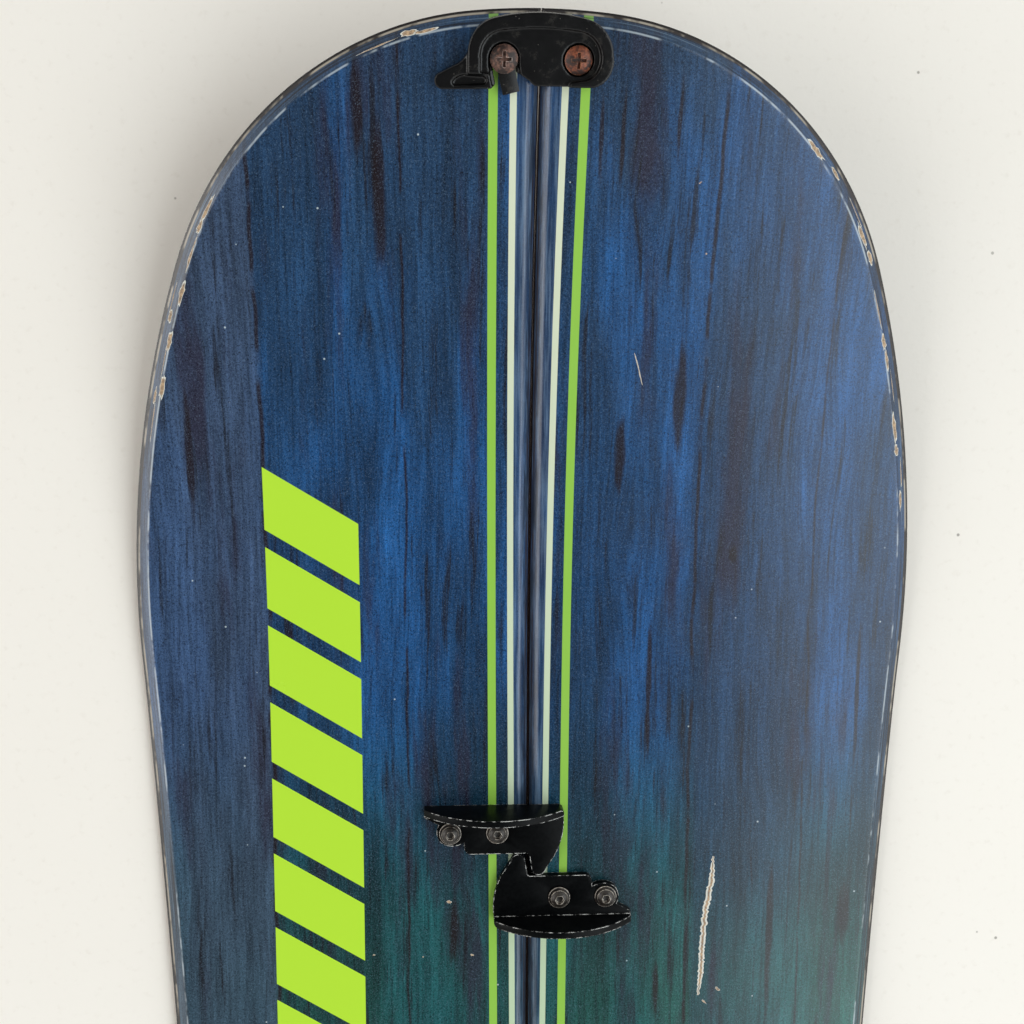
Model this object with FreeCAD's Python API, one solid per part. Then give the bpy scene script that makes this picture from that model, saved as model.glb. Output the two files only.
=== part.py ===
import FreeCAD, Part
import math
import os

# Splitboard: a snowboard that parts along its length into two touring skis.
# Frame: the base lies flat on z = 0, the nose points to +Y, +X is the rider's right seen from above
# with the nose ahead, and the seam between the halves is the plane x = 0.
# The board is the same after half a turn about Z, apart from the touring inserts, so the right half
# and the fittings screwed to it are drawn, and the left half is the same pieces turned round.

V = FreeCAD.Vector

# ---- outline, millimetres and degrees
HALF_LENGTH = 805.0
NOSE_ARCS = ((256.2, 5.10), (124.6, 64.07), (359.8, 20.83))   # radius, turn; from the tip outwards
SIDECUT_RADIUS = 9300.0
HALF_GAP = 0.15               # each half stops this far from the seam plane

# ---- side profile
ROCKER_START = 543.0          # flat base up to here
ROCKER_ARCS = ((835.4, 5.376), (666.5, 18.0))                 # radius, turn
THICK_MID = 8.0
THICK_NOSE = 6.0
TAPER_START = 150.0
TAPER_END = 440.0

# ---- layers, heights above the base surface or depths below the top surface
BASE_THICK = 1.3
EDGE_HEIGHT = 2.0
EDGE_WIDTH = 2.2
SKIN_THICK = 0.9              # printed topsheet and its cap
LAMINATE_DEPTH = 1.6          # underside of the upper glass laminate
BEVEL_DROP = 3.4              # the cap falls this far from its shoulder to the side
OUTER_BEVEL = 5.3             # and is this wide along the outline
SEAM_BEVEL = 3.7              # and along the seam

# ---- threaded inserts for bindings, touring brackets and heel rests
INSERT_COLUMNS = (25.0, 65.0)
BINDING_ROWS = (260.0, 280.0, 300.0, 320.0)
BRACKET_ROWS = (20.0, 60.0)
HEEL_ROW = -205.0
INSERT_BORE_R = 2.5
INSERT_BARREL_R = 4.25
INSERT_FLANGE_R = 7.0
INSERT_RECESS = 0.6           # the barrel's mouth lies this far under the topsheet's surface
PRESS_GAP = 0.04

# ---- hooks that lock the halves: plan in the hook's own frame, base of the plate at height 0
HOOK_Y = 489.4                # centre of the front pair
PLATE_THICK = 3.0
HOOK_BOLTS = ((12.5, -13.8), (31.3, -13.8))
HOOK_CLEARANCE = 0.4          # above the other half's topsheet
FLANGE_Y = (-24.2, -21.6)
FLANGE_ARC = ((41.6, 4.6), (14.0, 17.4), (-13.9, 6.6))        # x, height
HOOK_LOBE_R = 5.4

# ---- bolts through the board
BOLT_R = 2.45
BOLT_HOLE_R = 2.6
BOLT_HEAD_R = 3.5
BOLT_HEAD_HEIGHT = 2.6
BOLT_SOCKET_AF = 3.0
BOLT_SOCKET_DEPTH = 1.7
WASHER_R = 4.4
WASHER_THICK = 0.9
TNUT_FLANGE_R = 7.0
TNUT_FLANGE_THICK = 1.2
TNUT_BARREL_R = 3.6
TNUT_TOP = 5.0
TNUT_INSET = 0.1              # the flange lies this far above the base surface

# ---- tip and tail clips, in a frame laid on the topsheet of the nose
CLIP_FROM_TIP = 15.3          # screws to tip, along the board
CLIP_SCREW_X = 12.4
CLIP_LIFT = 0.45              # underside of the clip above the topsheet
CLIP_LEDGE = 2.5
CLIP_FLOOR = 4.4
CLIP_RIM = 7.2
CLIP_LEVER = 5.6
SLOT_HALF_WIDTH = 3.8         # round the post's keeper
HEAD_SLOT_HALF_WIDTH = 5.1    # round the post's screw head
SLOT_SWEEP = 32.0             # degrees about the pivot
KEEPER_R = 3.2
KEEPER_HEIGHT = 3.4
KEEPER_TAB = (2.9, 11.2, 2.6)  # half width, reach, height
KEEPER_TILT = 14.0
PIVOT_SLEEVE_R = 3.2
PIVOT_RUNNING_GAP = 0.06
CLIP_SCREW_R = 2.0
CLIP_SCREW_HOLE_R = 2.15
CLIP_HEAD_R = 4.6
CLIP_HEAD_RIM = 1.1
CLIP_HEAD_DOME = 1.6
CROSS_WIDTH = 1.1
CROSS_LENGTH = 5.0
CROSS_DEPTH = 1.5

TOOL_REACH = 40.0
HALF_TURN = FreeCAD.Placement(V(0, 0, 0), FreeCAD.Rotation(V(0, 0, 1), 180))


# ---------------------------------------------------------------- plane curves
def chain(start, heading, segments):
    """Arcs and straights in a row, each tangent to the last: (length,) or (radius, turn in degrees)."""
    x, y = start
    heading = math.radians(heading)
    pieces = []
    for segment in segments:
        if len(segment) == 1:
            end = (x + segment[0] * math.cos(heading), y + segment[0] * math.sin(heading))
            pieces.append(((x, y), None, end))
        else:
            radius, turn = segment[0], math.radians(segment[1])
            side = math.copysign(1.0, turn)
            cx = x - side * radius * math.sin(heading)
            cy = y + side * radius * math.cos(heading)
            points = [(cx + side * radius * math.sin(heading + turn * t),
                       cy - side * radius * math.cos(heading + turn * t)) for t in (0.5, 1.0)]
            pieces.append(((x, y), points[0], points[1]))
            end = points[1]
            heading += turn
        x, y = end
    return pieces


def edges_of(pieces, place):
    """Edges of a chain, with each plane point put in space by place(a, b)."""
    edges = []
    for start, middle, end in pieces:
        if middle is None:
            edges.append(Part.LineSegment(place(*start), place(*end)).toShape())
        else:
            edges.append(Part.Arc(place(*start), place(*middle), place(*end)).toShape())
    return edges


def closed_face(*edge_lists):
    edges = [edge for edges in edge_lists for edge in edges]
    return Part.Face(Part.Wire(Part.__sortEdges__(edges)))


def plate(points, z0, z1):
    """Prism over a closed plan: corners, with ("arc", middle, end) for the round stretches."""
    edges = []
    here = points[0]
    for step in list(points[1:]) + [points[0]]:
        if step[0] == "arc":
            middle, end = step[1], step[2]
            edges.append(Part.Arc(V(*here, z0), V(*middle, z0), V(*end, z0)).toShape())
        else:
            end = step
            if (V(*here, 0) - V(*end, 0)).Length > 1e-6:
                edges.append(Part.LineSegment(V(*here, z0), V(*end, z0)).toShape())
        here = end
    return Part.Face(Part.Wire(edges)).extrude(V(0, 0, z1 - z0))


def upright(radius, x, y, z0, z1):
    return Part.makeCylinder(radius, z1 - z0, V(x, y, z0))


def solid_of(shape):
    shape = shape.removeSplitter()
    return shape.Solids[0] if len(shape.Solids) == 1 else shape


# ---------------------------------------------------------------- outline and profile
def side_turn():
    """Extra turn of the last nose arc, so that the sidecut starts tangent to it."""
    widest_y = HALF_LENGTH
    heading = 0.0
    for radius, turn in NOSE_ARCS:
        step = math.radians(turn)
        widest_y -= radius * (math.cos(heading) - math.cos(heading + step))
        heading += step
    return math.degrees(math.asin(widest_y / (SIDECUT_RADIUS + NOSE_ARCS[-1][0])))


def outline_segments(inset):
    extra = side_turn()
    nose = [(radius - inset, -turn) for radius, turn in NOSE_ARCS]
    nose[-1] = (nose[-1][0], nose[-1][1] - extra)
    return nose + [(SIDECUT_RADIUS + inset, 2 * extra)] + nose[::-1]


def outline_prism(inset, seam_x):
    """Upright prism over the right half's plan, drawn in by inset and cut off at seam_x."""
    top = HALF_LENGTH - inset
    low = -TOOL_REACH
    side = edges_of(chain((0, top), 0, outline_segments(inset)), lambda x, y: V(x, y, low))
    seam = [Part.LineSegment(V(0, -top, low), V(0, top, low)).toShape()]
    prism = closed_face(side, seam).extrude(V(0, 0, 4 * TOOL_REACH))
    keep = Part.makeBox(400, 4 * HALF_LENGTH, 6 * TOOL_REACH, V(seam_x, -2 * HALF_LENGTH, -2 * TOOL_REACH))
    return prism.common(keep)


def base_line(height):
    """Nose half of a line at this height above the base surface, from the middle of the board."""
    rocker = [(radius - height, turn) for radius, turn in ROCKER_ARCS]
    return chain((0, height), 0, [(ROCKER_START,)] + rocker)


def top_line(depth):
    """Nose half of a line at this depth below the top surface."""
    run = (TAPER_END - TAPER_START) / 2
    fall = (THICK_MID - THICK_NOSE) / 2
    radius = (run * run + fall * fall) / (2 * fall)
    turn = math.degrees(math.asin(run / radius))
    rocker = [(arc - THICK_NOSE + depth, angle) for arc, angle in ROCKER_ARCS]
    taper = [(TAPER_START,), (radius - depth, -turn), (radius + depth, turn), (ROCKER_START - TAPER_END,)]
    return chain((0, THICK_MID - depth), 0, taper + rocker)


def top_height(y, depth=0.0):
    """Height of the top surface, less depth, at a distance y from the middle."""
    y = abs(y)
    for (y0, z0), middle, (y1, z1) in top_line(depth):
        if y <= y1 + 1e-9:
            break
    if middle is None:
        return z0 + (z1 - z0) * (y - y0) / (y1 - y0)
    circle = Part.Arc(V(y0, z0, 0), V(*middle, 0), V(y1, z1, 0)).toShape().Curve
    lift = math.sqrt(circle.Radius ** 2 - (y - circle.Center.x) ** 2)
    return circle.Center.y + math.copysign(lift, middle[1] - circle.Center.y)


def slab(lower, upper, x0=-1.0, run=V(200, 0, 0)):
    """Space between two profile lines and their mirror images, swept along run from x0."""
    edges = []
    for sign in (1, -1):
        place = lambda y, z: V(x0, sign * y, z)
        edges += edges_of(lower, place) + edges_of(upper, place)
        edges.append(Part.LineSegment(place(*lower[-1][2]), place(*upper[-1][2])).toShape())
    return closed_face(edges).extrude(run)


# ---------------------------------------------------------------- cap with its bevelled shoulder
def outline_stations(inset):
    """Points along the nose half of the outline, each with its outward direction."""
    stations = []
    spacing = 9.0
    for start, middle, end in chain((0, HALF_LENGTH - inset), 0, outline_segments(inset))[:4]:
        arc = Part.Arc(V(*start, 0), V(*middle, 0), V(*end, 0)).toShape()
        centre = arc.Curve.Center
        concave = centre.x > HALF_LENGTH
        steps = max(6, int(arc.Length / spacing))
        for step in range(steps):
            point = arc.valueAt(arc.FirstParameter + (arc.LastParameter - arc.FirstParameter) * step / steps)
            outward = (centre - point) if concave else (point - centre)
            outward.normalize()
            stations.append((point, outward))
            if point.y < 0:
                return stations
    return stations


def outer_bevel_tool(inset, depth):
    """What is cut off outside the sloping side of the cap, for the nose half."""
    reach = 1.6
    corners = ([], [], [])
    lead = V(-3, 0, 0)
    stations = outline_stations(inset)
    first = (stations[0][0] + lead, stations[0][1])
    for point, outward in [first] + stations:
        side_z = top_height(min(point.y, HALF_LENGTH - 1), depth) - BEVEL_DROP
        inner = point - outward * OUTER_BEVEL
        shoulder_z = top_height(inner.y, depth)
        slope = V(point.x, point.y, side_z) - V(inner.x, inner.y, shoulder_z)
        shoulder = V(inner.x, inner.y, shoulder_z)
        corners[0].append(shoulder - slope * (reach - 1))
        corners[1].append(shoulder + slope * reach)
        corners[2].append(shoulder + slope * reach + V(0, 0, 3 * BEVEL_DROP * reach))
    rails = []
    for points in corners:
        curve = Part.BSplineCurve()
        curve.interpolate(points)
        rails.append(curve.toShape())
    faces = [Part.makeRuledSurface(rails[i], rails[(i + 1) % 3]) for i in range(3)]
    for end in (0, -1):
        ring = [points[end] for points in corners]
        faces.append(Part.Face(Part.makePolygon(ring + ring[:1])))
    shell = Part.makeShell(faces)
    shell.sewShape()
    tool = Part.makeSolid(Part.Shell(shell.Faces))
    if tool.Volume < 0:
        tool.reverse()
    return tool


def seam_bevel_tool(seam_x, depth):
    """What is cut off above the slope beside the seam."""
    reach = 2.0
    start_x = seam_x - SEAM_BEVEL * (reach - 1)
    drop = depth + BEVEL_DROP * reach
    run = V(SEAM_BEVEL, 0, BEVEL_DROP) * (2 * reach)
    return slab(top_line(drop), top_line(-TOOL_REACH / 2), start_x, run)


def capped(depth):
    """The right half above its edges, with the whole cap drawn in by depth."""
    body = slab(base_line(EDGE_HEIGHT), top_line(depth)).common(outline_prism(depth, HALF_GAP + depth))
    nose_tool = outer_bevel_tool(depth, depth)
    tail_tool = nose_tool.mirror(V(0, 0, 0), V(0, 1, 0))
    return body.cut([nose_tool, tail_tool, seam_bevel_tool(HALF_GAP + depth, depth)])


# ---------------------------------------------------------------- laminated half
def half_layers():
    """Right half's layers by name, before the holes for its hardware."""
    outer, middle, core = capped(0.0), capped(SKIN_THICK), capped(LAMINATE_DEPTH)
    full = outline_prism(0.0, HALF_GAP)
    inside = outline_prism(EDGE_WIDTH, HALF_GAP + EDGE_WIDTH)
    edge_band = slab(base_line(0.0), base_line(EDGE_HEIGHT))
    ring = edge_band.common(full).cut(inside)
    seam_strip = Part.makeBox(EDGE_WIDTH, 4 * HALF_LENGTH, 6 * TOOL_REACH,
                              V(HALF_GAP, -2 * HALF_LENGTH, -2 * TOOL_REACH))
    return {
        "topsheet": outer.cut(middle),
        "upper_laminate": middle.cut(core),
        "core": core,
        "lower_laminate": slab(base_line(BASE_THICK), base_line(EDGE_HEIGHT)).common(inside),
        "base_sheet": slab(base_line(0.0), base_line(BASE_THICK)).common(inside),
        "outer_edge": ring.cut(seam_strip),
        "inner_edge": ring.common(seam_strip),
    }


def insert_places(ahead):
    """Plan places of a half's threaded inserts, as drawn on the right, with the nose at ahead * Y."""
    rows = [sign * row for row in BINDING_ROWS for sign in (1, -1)]
    rows += [ahead * row for row in BRACKET_ROWS + (HEEL_ROW,)]
    return [(x, y) for y in rows for x in INSERT_COLUMNS]


def insert_at(x, y):
    """Flanged insert: it stands on the base sheet and its thread opens to the topsheet."""
    mouth = top_height(abs(y) + INSERT_BARREL_R) - INSERT_RECESS
    flange = upright(INSERT_FLANGE_R, x, y, BASE_THICK, EDGE_HEIGHT)
    barrel = upright(INSERT_BARREL_R, x, y, BASE_THICK, mouth)
    bore = upright(INSERT_BORE_R, x, y, EDGE_HEIGHT, mouth + 1)
    return flange.fuse(barrel).cut(bore)


def insert_pocket(x, y):
    """Room for an insert in the layers, and its open mouth in the topsheet."""
    flange = upright(INSERT_FLANGE_R + PRESS_GAP, x, y, BASE_THICK, EDGE_HEIGHT)
    barrel = upright(INSERT_BARREL_R + PRESS_GAP, x, y, EDGE_HEIGHT, THICK_MID + 2)
    return flange.fuse(barrel)


# ---------------------------------------------------------------- bolted hardware, along its own axis
def tnut():
    """Threaded nut let into the base: flange below, barrel up through the board."""
    flange = upright(TNUT_FLANGE_R, 0, 0, TNUT_INSET, TNUT_INSET + TNUT_FLANGE_THICK)
    barrel = upright(TNUT_BARREL_R, 0, 0, TNUT_INSET, TNUT_TOP)
    return flange.fuse(barrel)


def tnut_pocket():
    flange = upright(TNUT_FLANGE_R + PRESS_GAP, 0, 0, -1, TNUT_INSET + TNUT_FLANGE_THICK)
    barrel = upright(TNUT_BARREL_R + PRESS_GAP, 0, 0, -1, TNUT_TOP)
    return flange.fuse(barrel)


def hex_prism(across_flats, z0, z1):
    radius = across_flats / math.sqrt(3)
    corners = [V(radius * math.cos(a), radius * math.sin(a), z0)
               for a in (math.radians(60 * i) for i in range(7))]
    return Part.Face(Part.makePolygon(corners)).extrude(V(0, 0, z1 - z0))


def domed_head(radius, rim, dome, z0):
    """Cylinder of height rim with a shallow spherical cap on it."""
    sphere_r = (radius * radius + dome * dome) / (2 * dome)
    ball = Part.makeSphere(sphere_r, V(0, 0, z0 + rim + dome - sphere_r))
    return upright(radius, 0, 0, z0, z0 + rim + dome).common(ball)


def hook_bolt(seat):
    """Button head bolt with a hexagon socket, its head resting at height seat."""
    shaft = upright(BOLT_R, 0, 0, TNUT_INSET + TNUT_FLANGE_THICK, seat)
    rim = 1.0
    head = domed_head(BOLT_HEAD_R, rim, BOLT_HEAD_HEIGHT - rim, seat)
    top = seat + BOLT_HEAD_HEIGHT
    return shaft.fuse(head).cut(hex_prism(BOLT_SOCKET_AF, top - BOLT_SOCKET_DEPTH, top + 1))


def washer(seat):
    return upright(WASHER_R, 0, 0, seat, seat + WASHER_THICK).cut(
        upright(BOLT_HOLE_R, 0, 0, seat - 1, seat + WASHER_THICK + 1))


def clip_screw(seat):
    """Pan head screw with a cross recess, its head resting at height seat."""
    shaft = upright(CLIP_SCREW_R, 0, 0, TNUT_INSET + TNUT_FLANGE_THICK, seat)
    head = domed_head(CLIP_HEAD_R, CLIP_HEAD_RIM, CLIP_HEAD_DOME, seat)
    top = seat + CLIP_HEAD_RIM + CLIP_HEAD_DOME
    cross = []
    for length, width in ((CROSS_LENGTH, CROSS_WIDTH), (CROSS_WIDTH, CROSS_LENGTH)):
        cross.append(Part.makeBox(length, width, CROSS_DEPTH + 1,
                                  V(-length / 2, -width / 2, top - CROSS_DEPTH)))
    return shaft.fuse(head).cut(cross)


def at(shape, x, y, z=0.0):
    return shape.translated(V(x, y, z))


# ---------------------------------------------------------------- hooks
def hook():
    """Right half's hook: a plate whose finger crosses the seam, with an upturned flange behind it."""
    bolt_x, bolt_y = HOOK_BOLTS[1]
    diagonal = HOOK_LOBE_R / math.sqrt(2)
    plan = [
        (41.6, FLANGE_Y[0]), (-12.0, FLANGE_Y[0]),
        ("arc", (-13.5, -23.6), (-13.9, -22.0)),
        ("arc", (-13.7, -12.4), (-10.4, -3.4)),
        (-6.9, 2.0),
        ("arc", (-3.6, 4.3), (-1.3, 1.6)),
        (-0.55, -3.2),
        ("arc", (-0.05, -4.4), (1.2, -4.8)),
        (22.9, -4.8),
        ("arc", (24.9, -5.6), (25.7, -7.6)),
        (25.9, -9.8),
        ("arc", (bolt_x, bolt_y + HOOK_LOBE_R), (bolt_x + diagonal, bolt_y + diagonal)),
        ("arc", (bolt_x + HOOK_LOBE_R, bolt_y), (bolt_x + 4.6, -17.2)),
        (41.6, -20.4),
    ]
    body = plate(plan, 0.0, PLATE_THICK)
    (x0, z0), (xm, zm), (x1, z1) = FLANGE_ARC
    y0, y1 = FLANGE_Y
    arch = Part.Arc(V(x0, y0, z0), V(xm, y0, zm), V(x1, y0, z1)).toShape()
    sides = Part.makePolygon([V(x1, y0, z1), V(x1, y0, 2.0), V(x0, y0, 2.0), V(x0, y0, z0)])
    flange = Part.Face(Part.Wire([arch] + sides.Edges)).extrude(V(0, y1 - y0, 0))
    holes = [upright(BOLT_HOLE_R, x, y, -1, PLATE_THICK + 1) for x, y in HOOK_BOLTS]
    over_other_half = Part.makeBox(60, 120, HOOK_CLEARANCE + 1, V(-60 + HALF_GAP, -60, -1))
    corner = plate([(-11.9, FLANGE_Y[0] - 1), (-14.9, FLANGE_Y[0] - 1), (-14.9, -20.9),
                    (-13.9, -22.0), ("arc", (-13.5, -23.6), (-11.9, FLANGE_Y[0]))], -1, 30)
    return solid_of(body.fuse(flange).cut(holes + [over_other_half, corner]))


# ---------------------------------------------------------------- clip on the tip, pivot to the right
def ring_slot(half_width, z0, z1):
    """Round slot about the pivot, from the post towards the waist."""
    pivot = V(CLIP_SCREW_X, 0, z0)
    reach = 2 * CLIP_SCREW_X
    height = z1 - z0
    outer = Part.makeCylinder(reach + half_width, height, pivot, V(0, 0, 1), SLOT_SWEEP)
    inner = Part.makeCylinder(reach - half_width, height, pivot, V(0, 0, 1), SLOT_SWEEP)
    sector = outer.cut(inner)
    sector.rotate(pivot, V(0, 0, 1), 180)
    return sector.fuse(upright(half_width, -CLIP_SCREW_X, 0, z0, z1))


def clip_body_plan():
    return [
        (-24.4, 1.6),
        ("arc", (-22.2, 8.4), (-16.5, 12.4)),
        ("arc", (0.0, 14.4), (15.5, 12.4)),
        ("arc", (22.0, 7.4), (23.8, 1.5)),
        ("arc", (22.6, -4.9), (17.5, -8.4)),
        (-0.9, -8.4),
        ("arc", (-2.4, -8.0), (-3.4, -7.0)),
        (-6.7, -4.9),
        (-11.0, -3.0),
        (-16.0, -9.2),
        (-24.4, -9.4),
    ]


def clip_lever_plan():
    return [
        (-24.4, 2.6),
        ("arc", (-26.2, -0.5), (-29.2, -2.3)),
        (-33.6, -4.5),
        ("arc", (-35.5, -7.2), (-33.2, -9.7)),
        (-17.4, -9.3),
        ("arc", (-16.3, -8.9), (-16.0, -7.6)),
        (-16.0, -4.5), (-20.0, 2.6),
    ]


def clip_floor_plan():
    return [
        (-20.4, 0.6),
        ("arc", (-18.4, 6.3), (-13.5, 8.9)),
        ("arc", (0.0, 9.8), (12.5, 8.9)),
        ("arc", (17.9, 5.9), (19.8, 1.0)),
        ("arc", (18.8, -3.4), (15.2, -6.2)),
        (10.0, -7.0), (8.0, -12.0), (-14.0, -12.0), (-14.0, -4.6), (-20.4, -4.4),
    ]


def clip_low_side_plan():
    """Corner beside the lever, where the body is no higher than the lever."""
    return [(-28.0, -16.6), (-16.0, -16.6), (-16.0, -4.6), (-28.0, -4.6)]


def grip_plan():
    """Thumb hollow in the lever's top."""
    return [(-29.6, -7.2), ("arc", (-27.6, -5.5), (-24.4, -5.2)), (-19.6, -5.4),
            ("arc", (-18.1, -6.6), (-19.2, -8.0)), (-28.0, -8.4), ("arc", (-29.3, -8.1), (-29.6, -7.2))]


def clip():
    """Moulded arm: a rim round a sunk floor, an eye on the pivot and a slot over the other half's post."""
    body = plate(clip_body_plan(), CLIP_LIFT, CLIP_RIM)
    lever = plate(clip_lever_plan(), CLIP_LIFT, CLIP_LEVER)
    cuts = [
        plate(clip_low_side_plan(), CLIP_LEVER, CLIP_RIM + 1),
        plate(clip_floor_plan(), CLIP_FLOOR, CLIP_RIM + 1),
        plate(grip_plan(), CLIP_LEVER - 1.5, CLIP_LEVER + 3),
        ring_slot(SLOT_HALF_WIDTH, 0, CLIP_RIM + 1),
        ring_slot(HEAD_SLOT_HALF_WIDTH, CLIP_LEDGE, CLIP_RIM + 1),
        upright(PIVOT_SLEEVE_R + PIVOT_RUNNING_GAP, CLIP_SCREW_X, 0, 0, CLIP_RIM + 1),
        upright(HEAD_SLOT_HALF_WIDTH, CLIP_SCREW_X, 0, CLIP_LEDGE, CLIP_RIM + 1),
    ]
    return solid_of(body.fuse(lever).cut(cuts))


def seated(shape):
    """The piece with its underside hollowed to the nose's curved topsheet."""
    radius = ROCKER_ARCS[-1][0] - THICK_NOSE
    return shape.common(Part.makeCylinder(radius, 2 * TOOL_REACH, V(-TOOL_REACH, 0, radius), V(1, 0, 0)))


def pivot_sleeve():
    sleeve = upright(PIVOT_SLEEVE_R, 0, 0, 0, KEEPER_HEIGHT)
    return seated(sleeve.cut(upright(CLIP_SCREW_HOLE_R, 0, 0, -1, KEEPER_HEIGHT + 1)))


def post_keeper():
    """Bush on the post, with a tab towards the waist that shows where the clip goes home."""
    half_width, reach, height = KEEPER_TAB
    tab = Part.makeBox(2 * half_width, reach, height, V(-half_width, -reach, 0))
    tab.rotate(V(0, 0, 0), V(0, 0, 1), KEEPER_TILT)
    bush = upright(KEEPER_R, 0, 0, 0, KEEPER_HEIGHT)
    return seated(bush.fuse(tab).cut(upright(CLIP_SCREW_HOLE_R, 0, 0, -1, KEEPER_HEIGHT + 1)))


def nose_placement():
    """Frame laid on the nose's top surface under the clip's screws: local z is the surface's normal."""
    y = HALF_LENGTH - CLIP_FROM_TIP
    step = 0.5
    slope = (top_height(y + step) - top_height(y - step)) / (2 * step)
    tilt = FreeCAD.Rotation(V(1, 0, 0), math.degrees(math.atan(slope)))
    return FreeCAD.Placement(V(0, y, top_height(y)), tilt)


# ---------------------------------------------------------------- assembly
def placed(shape, placement):
    copy = shape.copy()
    copy.Placement = placement.multiply(copy.Placement)
    return copy


def bolt_places():
    return [(x, y + pair) for pair in (HOOK_Y, -HOOK_Y) for x, y in HOOK_BOLTS]


def hook_fittings():
    """The right half's two hooks with their bolts, washers and nuts."""
    seat = THICK_NOSE + PLATE_THICK
    nut = tnut().cut(upright(BOLT_R + PRESS_GAP, 0, 0, TNUT_INSET + TNUT_FLANGE_THICK, 20))
    shapes = {"hook_washers": washer(seat), "hook_bolts": hook_bolt(seat + WASHER_THICK), "hook_tnuts": nut}
    pieces = {name: Part.makeCompound([at(shape, x, y) for x, y in bolt_places()])
              for name, shape in shapes.items()}
    pieces["front_hook"] = at(hook(), 0, HOOK_Y, THICK_NOSE)
    pieces["rear_hook"] = at(hook(), 0, -HOOK_Y, THICK_NOSE)
    return pieces


def clip_places():
    """Frames at the right half's two clip screws: the pivot at the tip and the post at the tail."""
    nose = nose_placement()
    tail = HALF_TURN.multiply(nose)
    return [frame.multiply(FreeCAD.Placement(V(x, 0, 0), FreeCAD.Rotation()))
            for frame, x in ((nose, CLIP_SCREW_X), (tail, -CLIP_SCREW_X))]


def clip_fittings():
    """Screws, nuts, sleeve and keeper that hold the clips to the right half."""
    pivot, post = clip_places()
    bore = upright(CLIP_SCREW_R + PRESS_GAP, 0, 0, TNUT_INSET + TNUT_FLANGE_THICK, 20)
    nut = at(tnut().cut(bore), 0, 0, -THICK_NOSE)
    screw = at(clip_screw(KEEPER_HEIGHT + THICK_NOSE), 0, 0, -THICK_NOSE)
    return {
        "tip_pivot_screw": placed(screw, pivot),
        "tip_pivot_sleeve": placed(pivot_sleeve(), pivot),
        "tail_post_screw": placed(screw, post),
        "tail_post_keeper": placed(post_keeper(), post),
        "clip_tnuts": Part.makeCompound([placed(nut, pivot), placed(nut, post)]),
    }


def hardware_pockets():
    """Room for the bolted fittings in the right half's layers."""
    clip_hole = [at(tnut_pocket(), 0, 0, -THICK_NOSE), upright(CLIP_SCREW_HOLE_R, 0, 0, -2, 2)]
    hook_hole = [tnut_pocket(), upright(BOLT_HOLE_R, 0, 0, 2, 12)]
    pockets = [at(hole, x, y) for x, y in bolt_places() for hole in hook_hole]
    return pockets + [placed(hole, place) for place in clip_places() for hole in clip_hole]


def half_pieces(layers, ahead):
    """Every piece fixed to one half, drawn as the right half with the nose at ahead * Y."""
    places = insert_places(ahead)
    pockets = hardware_pockets() + [insert_pocket(x, y) for x, y in places]
    pieces = {name: solid_of(layer.cut(pockets)) for name, layer in layers.items()}
    pieces["inserts"] = Part.makeCompound([insert_at(x, y) for x, y in places])
    pieces.update(hook_fittings())
    pieces.update(clip_fittings())
    return pieces


def turned_name(name):
    """A piece's name after half a turn: what was at the tip or front is at the tail or rear."""
    for one, other in (("tip", "tail"), ("front", "rear")):
        for old, new in ((one, other), (other, one)):
            if name.startswith(old + "_"):
                return new + name[len(old):]
    return name


def save(name, shape):
    shape.exportStep(os.path.join("parts", name + ".step"))


def main():
    os.makedirs("parts", exist_ok=True)
    layers = half_layers()
    for name, shape in half_pieces(layers, 1).items():
        save("right_" + name, shape)
    for name, shape in half_pieces(layers, -1).items():
        save("left_" + turned_name(name), placed(shape, HALF_TURN))
    tip_clip = placed(clip(), nose_placement())
    save("tip_clip", tip_clip)
    save("tail_clip", placed(tip_clip, HALF_TURN))


main()
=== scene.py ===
import math
import random

import bmesh
import bpy
from mathutils import Matrix, Vector
from mathutils.geometry import delaunay_2d_cdt


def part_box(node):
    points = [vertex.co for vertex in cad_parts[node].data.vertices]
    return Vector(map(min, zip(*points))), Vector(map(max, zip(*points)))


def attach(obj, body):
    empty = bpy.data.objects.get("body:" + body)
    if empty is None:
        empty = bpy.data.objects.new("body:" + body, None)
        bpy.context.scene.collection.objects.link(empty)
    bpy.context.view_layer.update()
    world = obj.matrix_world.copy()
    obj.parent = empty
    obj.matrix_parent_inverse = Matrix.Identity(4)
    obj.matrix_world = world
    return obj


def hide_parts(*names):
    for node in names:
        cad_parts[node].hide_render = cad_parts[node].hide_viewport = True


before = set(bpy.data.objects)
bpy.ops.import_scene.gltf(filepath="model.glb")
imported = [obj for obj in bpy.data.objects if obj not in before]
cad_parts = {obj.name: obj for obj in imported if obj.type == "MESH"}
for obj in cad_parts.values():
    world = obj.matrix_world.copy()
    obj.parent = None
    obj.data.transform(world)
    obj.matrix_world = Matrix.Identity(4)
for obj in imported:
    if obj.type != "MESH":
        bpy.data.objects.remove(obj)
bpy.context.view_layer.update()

# Splitboard. Lengths in the plan and profile below are millimetres; meshes are made in metres.
MM = 0.001

# ---- outline and profile, as the frame has them
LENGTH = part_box("right_topsheet")[1].y / MM
SEAM_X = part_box("right_topsheet")[0].x / MM
NOSE_ARCS = ((256.2, 5.10), (124.6, 64.07), (359.8, 20.83))
SIDECUT = 9300.0
ROCKER_START = 543.0
ROCKER_ARCS = ((835.4, 5.376), (666.5, 18.0))
THICK_MID, THICK_NOSE = 8.0, 6.0
TAPER = (150.0, 440.0)
BASE, EDGE_HEIGHT, EDGE_WIDTH, SKIN = 1.3, 2.0, 2.2, 0.9
BEVEL_DROP, OUTER_BEVEL, SEAM_BEVEL = 3.4, 5.3, 3.7
SHOULDER_EASE = 0.8

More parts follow.
